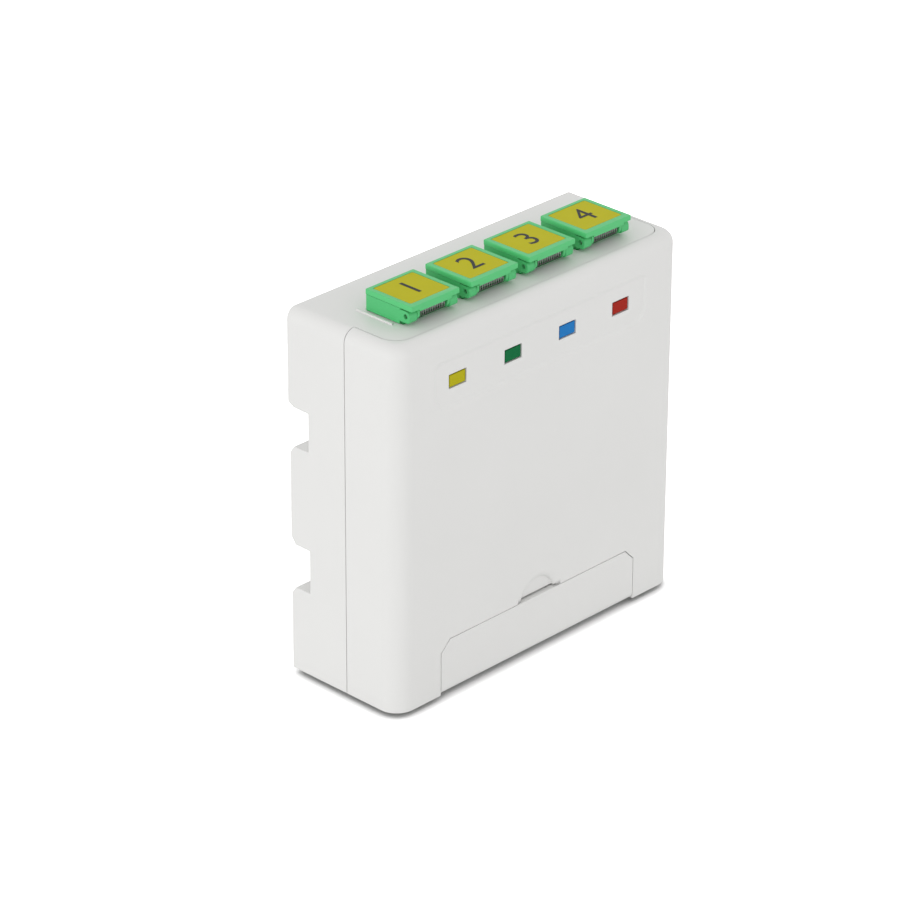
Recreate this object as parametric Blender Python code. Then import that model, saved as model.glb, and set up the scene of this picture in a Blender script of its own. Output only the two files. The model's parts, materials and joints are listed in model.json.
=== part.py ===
"""Fibre box for a 35 mm top-hat rail, with four sprung flip-cap adapters in its top.

X is the width, the front faces -Y and Z is up. The origin is under the middle of the box, on the
surface that its flat bottom stands on. All lengths are in metres.
"""
import math

import bmesh
import bpy
from mathutils import Vector

# Outer box
WIDTH = 0.0791
DEPTH = 0.02884
HEIGHT = 0.07705
WALL = 0.0020
PLATE = 0.0020
COVER_DEPTH = 0.0135
CORNER_RADIUS = 0.0042
EDGE_FILLET = 0.0026
BACK_EDGE_RADIUS = 0.0006
OPENING_CORNER = 0.0040
SEAM = 0.00015
COVER_RIM = 0.00105
LIP_LENGTH = 0.0020
LIP_SHARE = 0.0009

# Rail seat in the back
RAIL_FOOT = 0.021275
RAIL_HEIGHT = 0.035
RAIL_SHEET = 0.0010
RAIL_CLEARANCE = 0.0003
NOTCH_DEPTH = 0.00542
LOWER_BACK_INSET = 0.0004
TONGUE_TOP_DROP = 0.00783
TONGUE_FOOT_RISE = 0.00598
LOWER_BLOCK_GAP = 0.00318
SEAT_DRAFT = 0.00005
LEAD_RUN = 0.0011
LEAD_RISE = 0.0015
UPPER_LEAD_RUN = 0.0016
UPPER_LEAD_RISE = 0.00085

# Fixed hooks over the rail's upper edge
HOOK_PLACE = 0.0220
HOOK_WIDTH = 0.0080
HOOK_OVERLAP = 0.0013
HOOK_THICKNESS = 0.0020
HOOK_OPENING_GAP = 0.0003

# Sprung latch under the rail's lower edge
LATCH_WIDTH = 0.0117
LATCH_STEM_WIDTH = 0.0080
LATCH_FOOT = 0.0032
LATCH_OVERLAP = 0.0013
LATCH_THICKNESS = 0.0036
LATCH_WING_THICKNESS = 0.0022
LATCH_CLEARANCE = 0.00015
LATCH_WALL = 0.0015
LATCH_NOSE_FLAT = 0.0008
LATCH_NOSE_RISE = 0.0030
LATCH_TOOL_SLOT = (0.0040, 0.0020)
LATCH_TOOL_SLOT_RISE = 0.0013
SPRING_ROOM_WIDTH = 0.0030
SPRING_ROOM_TOP_DROP = 0.0020
PEG_WIDTH = 0.0024
PEG_HEIGHT = 0.0012
PEG_RISE = 0.0080
PEG_STOP_GAP = 0.0003
LATCH_COIL_DIAMETER = 0.0024
LATCH_COIL_WIRE = 0.0003
LATCH_COIL_TURNS = 6

# Front cover
PANEL_WIDTH = 0.0590
PANEL_HEIGHT = 0.0103
PANEL_DROP = 0.0111
PANEL_DEPTH = 0.00025
PANEL_SLOPE = 0.0007
PANEL_TOP_RADIUS = 0.0015
PANEL_FOOT_RADIUS = 0.0040
WINDOW_WIDTH = 0.00475
WINDOW_HEIGHT = 0.00295
WINDOW_PITCH = 0.01507
WINDOW_ROW_SHIFT = -0.0004
WINDOW_DROP = 0.01085
TAG_GAP = 0.00015
TAG_WINDOW_GAP = 0.0003
TAG_SINK = 0.0001
TAG_BORDER = 0.0012
TAG_THICKNESS = 0.0010
TAG_RAIL = 0.0008
SCOOP_RADIUS = 0.0066
SCOOP_FLOOR_RADIUS = 0.0047
SCOOP_DEPTH = 0.0010
SCOOP_CENTRE_Z = 0.0104
THUMB_GAP = 0.00045

# Entry flap at the foot of the cover
FLAP_WIDTH = 0.0548
FLAP_HEIGHT = 0.0115
FLAP_CORNER_CUT = 0.0024
FLAP_THICKNESS = 0.0013
FLAP_GAP = 0.00015
FLAP_LEDGE = 0.0008
FLAP_PIN_RADIUS = 0.0006
FLAP_PIN_LENGTH = 0.0014
FLAP_PIN_GAP = 0.0001

# Adapters
PORT_COUNT = 4
PORT_PITCH = 0.0159
PORT_WIDTH = 0.0128
PORT_DEPTH = 0.0093
PORT_FRONT = 0.0081
PORT_CORNER = 0.0005
SHANK_WIDTH = 0.0114
SHANK_GAP = 0.0003
BODY_DROP = 0.0234
MOUTH_WIDTH = 0.0090
MOUTH_DEPTH = 0.0074
MOUTH_CHAMFER = 0.0003
KEYWAY_WIDTH = 0.0023
KEYWAY_LENGTH = 0.0055
LEDGE_THICKNESS = 0.0010
LEDGE_REACH = 0.0004
END_RIB_HEIGHT = 0.0003
END_RIB_WIDTH = 0.0004
END_RIB_GAP = 0.00085
END_RIB_SPAN = (0.00907, 0.0186)

# Flip caps and their hinges
CAP_THICKNESS = 0.0010
CAP_TOP_RISE = 0.0044
CAP_GAP = 0.00006
CAP_FRONT_REACH = 0.0030
CAP_CORNER = 0.0003
CAP_BEVEL = 0.0002
CAP_LIP_DROP = 0.0004
CAP_LIP_THICKNESS = 0.0005
HINGE_FORWARD = 0.0013
HINGE_RISE = 0.0020
EAR_RADIUS = 0.0011
EAR_INNER = 0.00435
EAR_SIDE_STEP = 0.00005
EAR_FOOT_DROP = 0.00125
LUG_INNER = 0.00365
LUG_OUTER = 0.00425
LUG_RADIUS = 0.0011
PIN_RADIUS = 0.0004
PIN_GAP = 0.0001
PIN_END_DEPTH = 0.0005
LABEL_WIDTH = 0.0104
LABEL_LENGTH = 0.0098
LABEL_FRONT_RIM = 0.0015
LABEL_THICKNESS = 0.0003
LABEL_RECESS = 0.0005
LABEL_GAP = 0.0001
LABEL_SINK = 0.00003
LABEL_CORNER = 0.0003
BOSS_DEPTH = 0.0009
BOSS_GAP = 0.00045
COIL_DIAMETER = 0.0021
COIL_WIRE = 0.00032
COIL_LENGTH = 0.0068
COIL_TURNS = 10.5
COIL_LEG_GAP = 0.00014

# Sleeve holder, split sleeve and clip of each adapter
HOLDER_TUBE_DIAMETER = 0.0046
HOLDER_BORE = 0.0035
HOLDER_MOUTH = 0.0028
HOLDER_END_WALL = 0.0004
HOLDER_FLANGE = 0.0010
HOLDER_GAP = 0.00015
HOLDER_SEAT_GAP = 0.0003
ARM_INNER = 0.0030
ARM_THICKNESS = 0.0008
ARM_WIDTH = 0.0036
ARM_LENGTH = 0.0085
ARM_HOOK = 0.0005
ARM_HOOK_HEIGHT = 0.0006
SLEEVE_DIAMETER = 0.0032
SLEEVE_BORE = 0.0025
SLEEVE_LENGTH = 0.0114
SLEEVE_SLIT = 0.0004
CLIP_SHEET = 0.0003
CLIP_GAP = 0.00015
CLIP_TOP_DROP = 0.0050
CLIP_HEIGHT = 0.0072
CLIP_TAB_WIDTH = 0.0030
CLIP_TAB_FLARE = 0.0012
CLIP_PLATE_GAP = 0.0003

# Splice comb
COMB_WIDTH = 0.0360
COMB_BASE = 0.0012
COMB_MARGIN = 0.0012
COMB_RIB_WIDTH = 0.0260
COMB_RIB_HEIGHT = 0.0046
COMB_RIB = 0.0010
COMB_SLOTS = 4
COMB_PEG_RADIUS = 0.0012
COMB_PEG_PLACE = 0.0155
SEAT_GAP = 0.0003

# Cable clamp
CLAMP_PLACE = 0.0110
CLAMP_CENTRE_Z = 0.0090
CLAMP_WIDTH = 0.0272
CLAMP_HEIGHT = 0.0050
CLAMP_THICKNESS = 0.0018
CLAMP_ARCH = 0.0020
CLAMP_ARCH_WALL = 0.00144
CLAMP_POST_RADIUS = 0.0024
CLAMP_POST_LENGTH = 0.0069
SCREW_RADIUS = 0.00075
SCREW_GAP = 0.0002
SCREW_LENGTH = 0.0060
SCREW_HEAD_RADIUS = 0.0019
SCREW_HEAD_HEIGHT = 0.0012
SCREW_HEAD_TOP_RADIUS = 0.0014
SCREW_HEAD_EDGE = 0.0007
SCREW_SLOT = 0.0005
SCREW_SLOT_DEPTH = 0.00055

# Fibre guides and cover guides
GUIDE_PLACE = 0.0240
GUIDE_RADIUS = 0.0075
GUIDE_WALL = 0.0012
GUIDE_HEIGHT = 0.0062
GUIDE_SPREAD = 0.0016
GUIDE_TAB = 0.0024
TONGUE_GUIDE_WIDTH = 0.0080
TONGUE_GUIDE_WALL = 0.0012
TONGUE_GUIDE_REACH = 0.0060
TONGUE_GUIDE_HEIGHTS = (0.0170, 0.0440)

# Places that follow from the sizes above
FRONT = -DEPTH / 2
BACK = DEPTH / 2
LOWER_BACK = BACK - LOWER_BACK_INSET
PARTING = FRONT + COVER_DEPTH
PANEL_CENTRE_Z = HEIGHT - PANEL_DROP
WINDOW_CENTRE_Z = HEIGHT - WINDOW_DROP
REAR_FRONT = PARTING + SEAM
NOTCH = BACK - NOTCH_DEPTH
UPPER_FOOT = RAIL_FOOT + RAIL_HEIGHT + RAIL_CLEARANCE
TONGUE_TOP = RAIL_FOOT + RAIL_HEIGHT - TONGUE_TOP_DROP
TONGUE_FOOT = RAIL_FOOT + TONGUE_FOOT_RISE
LOWER_TOP = RAIL_FOOT - LOWER_BLOCK_GAP
BEHIND_RAIL = NOTCH + RAIL_SHEET
LATCH_FRONT = BEHIND_RAIL + LATCH_CLEARANCE
GROOVE_FRONT = LATCH_FRONT - LATCH_CLEARANCE
SPRING_ROOM_TOP = LOWER_TOP - SPRING_ROOM_TOP_DROP
PORT_Y = FRONT + PORT_FRONT + PORT_DEPTH / 2
BODY_RISE = CAP_TOP_RISE - CAP_THICKNESS - CAP_GAP
BODY_MIDDLE = (BODY_RISE - BODY_DROP) / 2
EAR_OUTER = PORT_WIDTH / 2 - EAR_SIDE_STEP
HINGE_Y = FRONT + PORT_FRONT - HINGE_FORWARD
HINGE_Z = HEIGHT + HINGE_RISE
CAP_UNDER = CAP_TOP_RISE - CAP_THICKNESS - HINGE_RISE
CAP_TOP = CAP_TOP_RISE - HINGE_RISE
CAP_BACK = HINGE_FORWARD + PORT_DEPTH
CAP_NOSE = HINGE_FORWARD - CAP_FRONT_REACH
FLAP_AXIS = FLAP_THICKNESS
CLAMP_FRONT_Y = LOWER_BACK - WALL - CLAMP_POST_LENGTH - SEAT_GAP - CLAMP_THICKNESS

# Cutters reach past the face they cut by this much
PAST = 0.0010
SMOOTH_ANGLE = math.radians(32)

# Facets of the wound wire: steps in a turn, and sides of its section
COIL_STEPS = 7
WIRE_SIDES = 5


def port_places():
    """X of each adapter's centre, left to right."""
    return [(i - (PORT_COUNT - 1) / 2) * PORT_PITCH for i in range(PORT_COUNT)]


def window_places():
    """X of each window's centre, left to right."""
    return [WINDOW_ROW_SHIFT + (i - (PORT_COUNT - 1) / 2) * WINDOW_PITCH for i in range(PORT_COUNT)]


def arc(centre_a, centre_b, radius, start, end, steps):
    """Points along an arc, from the start angle to the end angle in degrees."""
    angles = [math.radians(start + (end - start) * i / steps) for i in range(steps + 1)]
    return [(centre_a + radius * math.cos(t), centre_b + radius * math.sin(t)) for t in angles]


def circle(centre_a, centre_b, radius, sides):
    return arc(centre_a, centre_b, radius, 0, 360 - 360 / sides, sides - 1)


def rectangle(low_a, low_b, high_a, high_b):
    return [(low_a, low_b), (high_a, low_b), (high_a, high_b), (low_a, high_b)]


def rounded(low_a, low_b, high_a, high_b, low_radius, high_radius=None, steps=3):
    """Rectangle with one corner radius on its low-b side and one on its high-b side."""
    top = low_radius if high_radius is None else high_radius
    foot = low_radius
    return (arc(high_a - foot, low_b + foot, foot, -90, 0, steps)
            + arc(high_a - top, high_b - top, top, 0, 90, steps)
            + arc(low_a + top, high_b - top, top, 90, 180, steps)
            + arc(low_a + foot, low_b + foot, foot, 180, 270, steps))


def mirrored(outline):
    """The outline on the other side of the box."""
    return [(-a, b) for a, b in outline]


def to_mesh(shape):
    bmesh.ops.recalc_face_normals(shape, faces=shape.faces)
    mesh = bpy.data.meshes.new("shape")
    shape.to_mesh(mesh)
    shape.free()
    return mesh


def loft(rings, closed=False):
    """Solid through rings with equally many points, joined end to end where it is closed."""
    shape = bmesh.new()
    rows = [[shape.verts.new(point) for point in ring] for ring in rings]
    pairs = list(zip(rows, rows[1:]))
    if closed:
        pairs.append((rows[-1], rows[0]))
    for lower, upper in pairs:
        for i, corner in enumerate(lower):
            j = (i + 1) % len(lower)
            shape.faces.new((corner, lower[j], upper[j], upper[i]))
    if not closed:
        shape.faces.new(rows[0])
        shape.faces.new(rows[-1])
    return to_mesh(shape)


def on_axis(axis, a, b, t):
    """Point with t along the axis and a, b along the other two, in X, Y, Z order."""
    return {"X": (t, a, b), "Y": (a, t, b), "Z": (a, b, t)}[axis]


def prism(outline, axis, low, high):
    """Outline extruded along an axis."""
    return loft([[on_axis(axis, a, b, t) for a, b in outline] for t in (low, high)])


def stack(axis, layers):
    """Solid through outlines at places along an axis, given as (place, outline)."""
    return loft([[on_axis(axis, a, b, t) for a, b in outline] for t, outline in layers])


def box(low, high):
    return prism(rectangle(low[0], low[1], high[0], high[1]), "Z", low[2], high[2])


def turned(profile, sides):
    """Ring with a closed (radius, z) profile, turned about Z."""
    angles = [2 * math.pi * i / sides for i in range(sides)]
    return loft([[(r * math.cos(t), r * math.sin(t), z) for r, z in profile] for t in angles], True)


def wire(points, radius, sides):
    """Round wire through a list of points."""
    rings = []
    normal = (points[1] - points[0]).orthogonal()
    for i, point in enumerate(points):
        ahead = points[min(i + 1, len(points) - 1)]
        behind = points[max(i - 1, 0)]
        along = (ahead - behind).normalized()
        normal = (normal - along * normal.dot(along)).normalized()
        across = along.cross(normal)
        angles = [2 * math.pi * k / sides for k in range(sides)]
        rings.append([point + radius * (math.cos(t) * normal + math.sin(t) * across) for t in angles])
    return loft(rings)


def helix(axis_point, along, first, second, radius, length, start, turns, steps_per_turn):
    """Points of a coil about an axis, with first and second as the directions of 0 and 90 degrees."""
    steps = round(abs(turns) * steps_per_turn)
    points = []
    for i in range(steps + 1):
        angle = math.radians(start) + 2 * math.pi * turns * i / steps
        spoke = radius * (math.cos(angle) * first + math.sin(angle) * second)
        points.append(axis_point + along * (length * i / steps) + spoke)
    return points


def combined(base, tools, operation):
    """Mesh of a Boolean between the base and each tool in turn."""
    scene = bpy.context.scene.collection
    holder = bpy.data.objects.new("holder", base)
    scene.objects.link(holder)
    helpers = [holder]
    for tool in tools:
        helper = bpy.data.objects.new("tool", tool)
        scene.objects.link(helper)
        helpers.append(helper)
        step = holder.modifiers.new("step", "BOOLEAN")
        step.object = helper
        step.operation = operation
        step.solver = "EXACT"
    bpy.context.view_layer.update()
    evaluated = holder.evaluated_get(bpy.context.evaluated_depsgraph_get())
    result = bpy.data.meshes.new_from_object(evaluated)
    for helper in helpers:
        bpy.data.objects.remove(helper)
    return result


def cut(base, *tools):
    return combined(base, tools, "DIFFERENCE")


def join(base, *tools):
    return combined(base, tools, "UNION")


def common(base, *tools):
    return combined(base, tools, "INTERSECT")


def material(name, colour, roughness, metallic=0.0):
    """Plain Principled material."""
    made = bpy.data.materials.new(name)
    made.use_nodes = True
    shader = made.node_tree.nodes["Principled BSDF"]
    shader.inputs["Base Color"].default_value = (*colour, 1.0)
    shader.inputs["Roughness"].default_value = roughness
    shader.inputs["Metallic"].default_value = metallic
    made.diffuse_color = (*colour, 1.0)
    return made


def axis_empty(name, location):
    """Empty at a joint's axis or at a port, which carries the pieces there."""
    made = bpy.data.objects.new(name, None)
    made.location = location
    made.empty_display_size = 0.004
    bpy.context.scene.collection.objects.link(made)
    return made


def place(name, mesh, look, location=(0, 0, 0), parent=None):
    """Object for one sub-part."""
    mesh.name = name
    mesh.materials.clear()
    mesh.materials.append(look)
    mesh.shade_smooth()
    mesh.set_sharp_from_angle(angle=SMOOTH_ANGLE)
    made = bpy.data.objects.new(name, mesh)
    made.location = location
    made.parent = parent
    bpy.context.scene.collection.objects.link(made)
    return made


def front_plan(inset, corner, back, steps=8):
    """Plan outline, open to the back, at an inset from the sides and the front."""
    side = WIDTH / 2 - inset
    front = FRONT + inset
    return ([(side, back)]
            + arc(side - corner, front + corner, corner, 0, -90, steps)
            + arc(-side + corner, front + corner, corner, -90, -180, steps)
            + [(-side, back)])


# Rear housing

def rear_outline():
    """Side profile with the rail seat: Y against Z."""
    lead = LOWER_BACK - LEAD_RUN
    upper_lead = BACK - UPPER_LEAD_RUN
    back_arc = arc(BACK - BACK_EDGE_RADIUS, HEIGHT - BACK_EDGE_RADIUS, BACK_EDGE_RADIUS, 0, 90, 3)
    return [(REAR_FRONT, 0), (LOWER_BACK, 0),
            (LOWER_BACK, LOWER_TOP - LEAD_RISE), (lead, LOWER_TOP - SEAT_DRAFT), (NOTCH, LOWER_TOP),
            (NOTCH, TONGUE_FOOT), (lead, TONGUE_FOOT + SEAT_DRAFT), (LOWER_BACK, TONGUE_FOOT + LEAD_RISE),
            (LOWER_BACK, TONGUE_TOP - LEAD_RISE), (lead, TONGUE_TOP - SEAT_DRAFT), (NOTCH, TONGUE_TOP),
            (NOTCH, UPPER_FOOT), (upper_lead, UPPER_FOOT + SEAT_DRAFT),
            (BACK, UPPER_FOOT + UPPER_LEAD_RISE),
            *back_arc, (REAR_FRONT, HEIGHT)]


def rear_cavity_outline():
    """Inside of the rear housing, one wall in from its profile: Y against Z."""
    inner_notch = NOTCH - WALL
    inner_back = LOWER_BACK - WALL
    mouth = REAR_FRONT - PAST
    return [(mouth, WALL), (inner_back, WALL), (inner_back, LOWER_TOP - WALL),
            (inner_notch, LOWER_TOP - WALL), (inner_notch, TONGUE_FOOT + WALL),
            (inner_back, TONGUE_FOOT + WALL), (inner_back, TONGUE_TOP - WALL),
            (inner_notch, TONGUE_TOP - WALL), (inner_notch, UPPER_FOOT + WALL),
            (BACK - WALL, UPPER_FOOT + WALL), (BACK - WALL, HEIGHT - PLATE), (mouth, HEIGHT - PLATE)]


def rear_shell():
    """Stepped housing with filleted upper edges, open at the front, and its forward top plate."""
    half = WIDTH / 2
    front_outline = ([(-half, 0), (half, 0)]
                     + arc(half - EDGE_FILLET, HEIGHT - EDGE_FILLET, EDGE_FILLET, 0, 90, 8)
                     + arc(-half + EDGE_FILLET, HEIGHT - EDGE_FILLET, EDGE_FILLET, 90, 180, 8))
    block = common(prism(rear_outline(), "X", -half - PAST, half + PAST),
                   prism(front_outline, "Y", REAR_FRONT - PAST, BACK + PAST))
    hollow = prism(rear_cavity_outline(), "X", -half + WALL, half - WALL)
    root = REAR_FRONT + PAST
    upper_inset = EDGE_FILLET + SEAM
    upper = prism(front_plan(upper_inset, OPENING_CORNER - SEAM, root), "Z",
                  HEIGHT - COVER_RIM - 2 * SEAM, HEIGHT)
    lower = prism(front_plan(WALL + SEAM, CORNER_RADIUS - WALL - SEAM, root), "Z",
                  HEIGHT - PLATE, HEIGHT - COVER_RIM - SEAM)
    return join(cut(block, hollow), upper, lower)


def front_lip():
    """Lip round the housing's open front that enters the cover."""
    half = WIDTH / 2
    inset = WALL - LIP_SHARE
    outer = prism(rectangle(-half + inset, inset, half - inset, HEIGHT - PLATE), "Y",
                  REAR_FRONT - LIP_LENGTH, REAR_FRONT + PAST)
    room = prism(rectangle(-half + WALL, WALL, half - WALL, HEIGHT), "Y",
                 REAR_FRONT - LIP_LENGTH - PAST, REAR_FRONT + 2 * PAST)
    return cut(outer, room)


def rail_hooks():
    """Two fixed hooks behind the rail's upper edge."""
    foot = RAIL_FOOT + RAIL_HEIGHT - HOOK_OVERLAP
    front = BEHIND_RAIL + RAIL_CLEARANCE
    back = front + HOOK_THICKNESS
    outline = [(front, UPPER_FOOT + WALL / 2), (front, foot + HOOK_OVERLAP / 3),
               (front + HOOK_OVERLAP / 3, foot), (back, foot + HOOK_OVERLAP / 2),
               (back, UPPER_FOOT + WALL / 2)]
    return [prism(outline, "X", x - HOOK_WIDTH / 2, x + HOOK_WIDTH / 2)
            for x in (-HOOK_PLACE, HOOK_PLACE)]


def hook_openings():
    """Opening in the seat's wall in front of each hook, which the hook is moulded through."""
    low = RAIL_FOOT + RAIL_HEIGHT - HOOK_OVERLAP - HOOK_OPENING_GAP
    half = HOOK_WIDTH / 2 + HOOK_OPENING_GAP
    return [box((x - half, NOTCH - WALL - PAST, low), (x + half, NOTCH + PAST, UPPER_FOOT))
            for x in (-HOOK_PLACE, HOOK_PLACE)]


def latch_housing():
    """Block inside the lower part of the housing that the latch's groove is cut into."""
    half = LATCH_WIDTH / 2 + LATCH_CLEARANCE + LATCH_WALL
    return box((-half, GROOVE_FRONT - LATCH_WALL, WALL / 2),
               (half, LOWER_BACK - WALL / 2, LOWER_TOP - WALL / 2))


def latch_groove():
    """T-shaped groove, from the underside up to the rail seat."""
    wing = LATCH_WIDTH / 2 + LATCH_CLEARANCE
    stem = LATCH_STEM_WIDTH / 2 + LATCH_CLEARANCE
    lips = LATCH_FRONT + LATCH_WING_THICKNESS + LATCH_CLEARANCE
    outline = [(-wing, GROOVE_FRONT), (wing, GROOVE_FRONT), (wing, lips), (stem, lips),
               (stem, LOWER_BACK + PAST), (-stem, LOWER_BACK + PAST), (-stem, lips), (-wing, lips)]
    return prism(outline, "Z", -PAST, LOWER_TOP + PAST)


def latch_peg():
    """Peg in the groove that the latch's spring stands on."""
    return box((-PEG_WIDTH / 2, GROOVE_FRONT - LATCH_WALL / 2, PEG_RISE),
               (PEG_WIDTH / 2, LATCH_FRONT + LATCH_WING_THICKNESS, PEG_RISE + PEG_HEIGHT))


def clamp_posts():
    """Two bosses for the cable clamp's screws."""
    back = LOWER_BACK - WALL
    posts = [prism(circle(x, CLAMP_CENTRE_Z, CLAMP_POST_RADIUS, 20), "Y",
                   back - CLAMP_POST_LENGTH, back + WALL / 2) for x in (-CLAMP_PLACE, CLAMP_PLACE)]
    holes = [prism(circle(x, CLAMP_CENTRE_Z, SCREW_RADIUS + SCREW_GAP, 16), "Y",
                   back - CLAMP_POST_LENGTH - PAST, back - PAST) for x in (-CLAMP_PLACE, CLAMP_PLACE)]
    return posts, holes


def comb_pegs():
    """Two pegs that the splice comb is pressed onto."""
    middle = (TONGUE_FOOT + TONGUE_TOP) / 2
    back = LOWER_BACK - WALL
    front = back - SEAT_GAP - COMB_BASE - COMB_BASE / 2
    return [prism(circle(x, middle, COMB_PEG_RADIUS, 16), "Y", front, back + WALL / 2)
            for x in (-COMB_PEG_PLACE, COMB_PEG_PLACE)]


def fibre_guides():
    """Curved walls that keep the fibres' bend radius, each with a tab over its free end."""
    root = NOTCH - WALL / 2
    tip = NOTCH - WALL - GUIDE_HEIGHT
    middle = (LOWER_TOP + TONGUE_FOOT) / 2
    walls = []
    for x in (-GUIDE_PLACE, GUIDE_PLACE):
        for turn in (0, 180):
            sign = 1 if turn == 0 else -1
            centre = middle + sign * (GUIDE_SPREAD - GUIDE_RADIUS + GUIDE_WALL)
            outline = (arc(x, centre, GUIDE_RADIUS, turn + 40, turn + 140, 8)
                       + arc(x, centre, GUIDE_RADIUS - GUIDE_WALL, turn + 140, turn + 40, 8))
            walls.append(prism(outline, "Y", tip, root))
            peak = centre + sign * (GUIDE_RADIUS - GUIDE_WALL / 2)
            tab = centre + sign * (GUIDE_RADIUS + GUIDE_TAB)
            walls.append(box((x - GUIDE_TAB / 2, tip - GUIDE_WALL / 2, min(peak, tab)),
                             (x + GUIDE_TAB / 2, tip + GUIDE_WALL / 2, max(peak, tab))))
    return walls


def cover_guides():
    """Four tongues beside the cover's walls that guide it on."""
    side = WIDTH / 2
    outer = side - WALL - SEAM
    inner = outer - TONGUE_GUIDE_WALL
    tip = REAR_FRONT - LIP_LENGTH - TONGUE_GUIDE_REACH
    shoulder = REAR_FRONT - LIP_LENGTH + SEAM
    outline = [(inner, tip), (outer - TONGUE_GUIDE_WALL / 2, tip), (outer, tip + TONGUE_GUIDE_WALL),
               (outer, shoulder), (side - WALL + LIP_SHARE / 3, shoulder),
               (side - WALL + LIP_SHARE / 3, REAR_FRONT + 2 * PAST), (inner, REAR_FRONT + 2 * PAST)]
    tongues = []
    for low in TONGUE_GUIDE_HEIGHTS:
        tongues.append(prism(outline, "Z", low, low + TONGUE_GUIDE_WIDTH))
        tongues.append(prism(mirrored(outline), "Z", low, low + TONGUE_GUIDE_WIDTH))
    return tongues


def port_openings():
    """Openings for the adapters in the top plate."""
    half_x = SHANK_WIDTH / 2 + SHANK_GAP
    half_y = PORT_DEPTH / 2 + SHANK_GAP
    return [box((x - half_x, PORT_Y - half_y, HEIGHT - PLATE - PAST),
                (x + half_x, PORT_Y + half_y, HEIGHT + PAST)) for x in port_places()]


def end_ribs():
    """Raised rib on the plate at each end of the adapter row."""
    near = port_places()[-1] + PORT_WIDTH / 2 + END_RIB_GAP
    low_y, high_y = (FRONT + y for y in END_RIB_SPAN)
    return [box((x, low_y, HEIGHT - PLATE / 2), (x + END_RIB_WIDTH, high_y, HEIGHT + END_RIB_HEIGHT))
            for x in (near, -near - END_RIB_WIDTH)]


def rear_housing(look):
    posts, screw_holes = clamp_posts()
    shell = join(rear_shell(), front_lip(), latch_housing(), *rail_hooks(), *posts, *comb_pegs(),
                 *fibre_guides(), *cover_guides(), *end_ribs())
    shell = cut(shell, latch_groove(), *hook_openings(), *screw_holes, *port_openings())
    place("rear_housing", join(shell, latch_peg()), look)


# Rail latch

def rail_latch(look):
    """Slider with a ramped nose behind the rail's lower edge, and a window for its spring."""
    back = LATCH_FRONT + LATCH_THICKNESS
    wings = LATCH_FRONT + LATCH_WING_THICKNESS
    top = RAIL_FOOT + LATCH_OVERLAP
    ramp = [(LATCH_FRONT, LATCH_FOOT), (back, LATCH_FOOT), (back, top - LATCH_NOSE_RISE),
            (LATCH_FRONT + LATCH_NOSE_FLAT, top), (LATCH_FRONT, top)]
    wing, stem = LATCH_WIDTH / 2, LATCH_STEM_WIDTH / 2
    section = [(-wing, LATCH_FRONT - PAST), (wing, LATCH_FRONT - PAST), (wing, wings), (stem, wings),
               (stem, back + PAST), (-stem, back + PAST), (-stem, wings), (-wing, wings)]
    body = common(prism(ramp, "X", -wing - PAST, wing + PAST),
                  prism(section, "Z", LATCH_FOOT - PAST, top + PAST))
    room = box((-SPRING_ROOM_WIDTH / 2, LATCH_FRONT - PAST, PEG_RISE - PEG_STOP_GAP),
               (SPRING_ROOM_WIDTH / 2, back + PAST, SPRING_ROOM_TOP))
    slot_width, slot_height = LATCH_TOOL_SLOT
    slot_foot = LATCH_FOOT + LATCH_TOOL_SLOT_RISE
    slot = box((-slot_width / 2, LATCH_FRONT - PAST, slot_foot),
               (slot_width / 2, back + PAST, slot_foot + slot_height))
    place("rail_latch", cut(body, room, slot), look)


def latch_spring(look):
    """Coil between the housing's peg and the top of the latch's window."""
    low = PEG_RISE + PEG_HEIGHT + LATCH_COIL_WIRE
    high = SPRING_ROOM_TOP - LATCH_COIL_WIRE
    radius = (LATCH_COIL_DIAMETER - LATCH_COIL_WIRE) / 2
    centre = Vector((0, LATCH_FRONT + LATCH_THICKNESS / 2, low))
    points = helix(centre, Vector((0, 0, 1)), Vector((1, 0, 0)), Vector((0, 1, 0)),
                   radius, high - low, 0, LATCH_COIL_TURNS, COIL_STEPS)
    place("latch_spring", wire(points, LATCH_COIL_WIRE / 2, WIRE_SIDES), look)


# Front cover

def cover_shell():
    """Rounded shell with a filleted upper edge, open at the back and over the top plate."""
    layers = [(0, front_plan(0, CORNER_RADIUS, PARTING))]
    steps = 8
    for i in range(steps + 1):
        angle = math.pi / 2 * i / steps
        inset = EDGE_FILLET * (1 - math.cos(angle))
        z = HEIGHT - EDGE_FILLET * (1 - math.sin(angle))
        layers.append((z, front_plan(inset, CORNER_RADIUS - inset, PARTING)))
    open_back = PARTING + PAST
    room = prism(front_plan(WALL, CORNER_RADIUS - WALL, open_back), "Z", WALL, HEIGHT - COVER_RIM)
    top = prism(front_plan(EDGE_FILLET, OPENING_CORNER, open_back), "Z",
                HEIGHT - COVER_RIM - PAST, HEIGHT + PAST)
    half = WIDTH / 2
    rebate_inset = WALL - LIP_SHARE - SEAM
    rebate = prism(rectangle(-half + rebate_inset, rebate_inset, half - rebate_inset,
                             HEIGHT - PLATE + SEAM), "Y", PARTING - LIP_LENGTH, open_back)
    return cut(stack("Z", layers), room, top, rebate)


def label_panel():
    """Shallow recess for the windows, with sloping sides."""
    half, low = PANEL_WIDTH / 2, PANEL_CENTRE_Z - PANEL_HEIGHT / 2
    high = low + PANEL_HEIGHT
    face = rounded(-half, low, half, high, PANEL_FOOT_RADIUS, PANEL_TOP_RADIUS, 6)
    inset = PANEL_SLOPE
    floor = rounded(-half + inset, low + inset, half - inset, high - inset,
                    PANEL_FOOT_RADIUS - inset, PANEL_TOP_RADIUS - inset, 6)
    return stack("Y", [(FRONT - PAST, face), (FRONT, face), (FRONT + PANEL_DEPTH, floor)])


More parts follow.
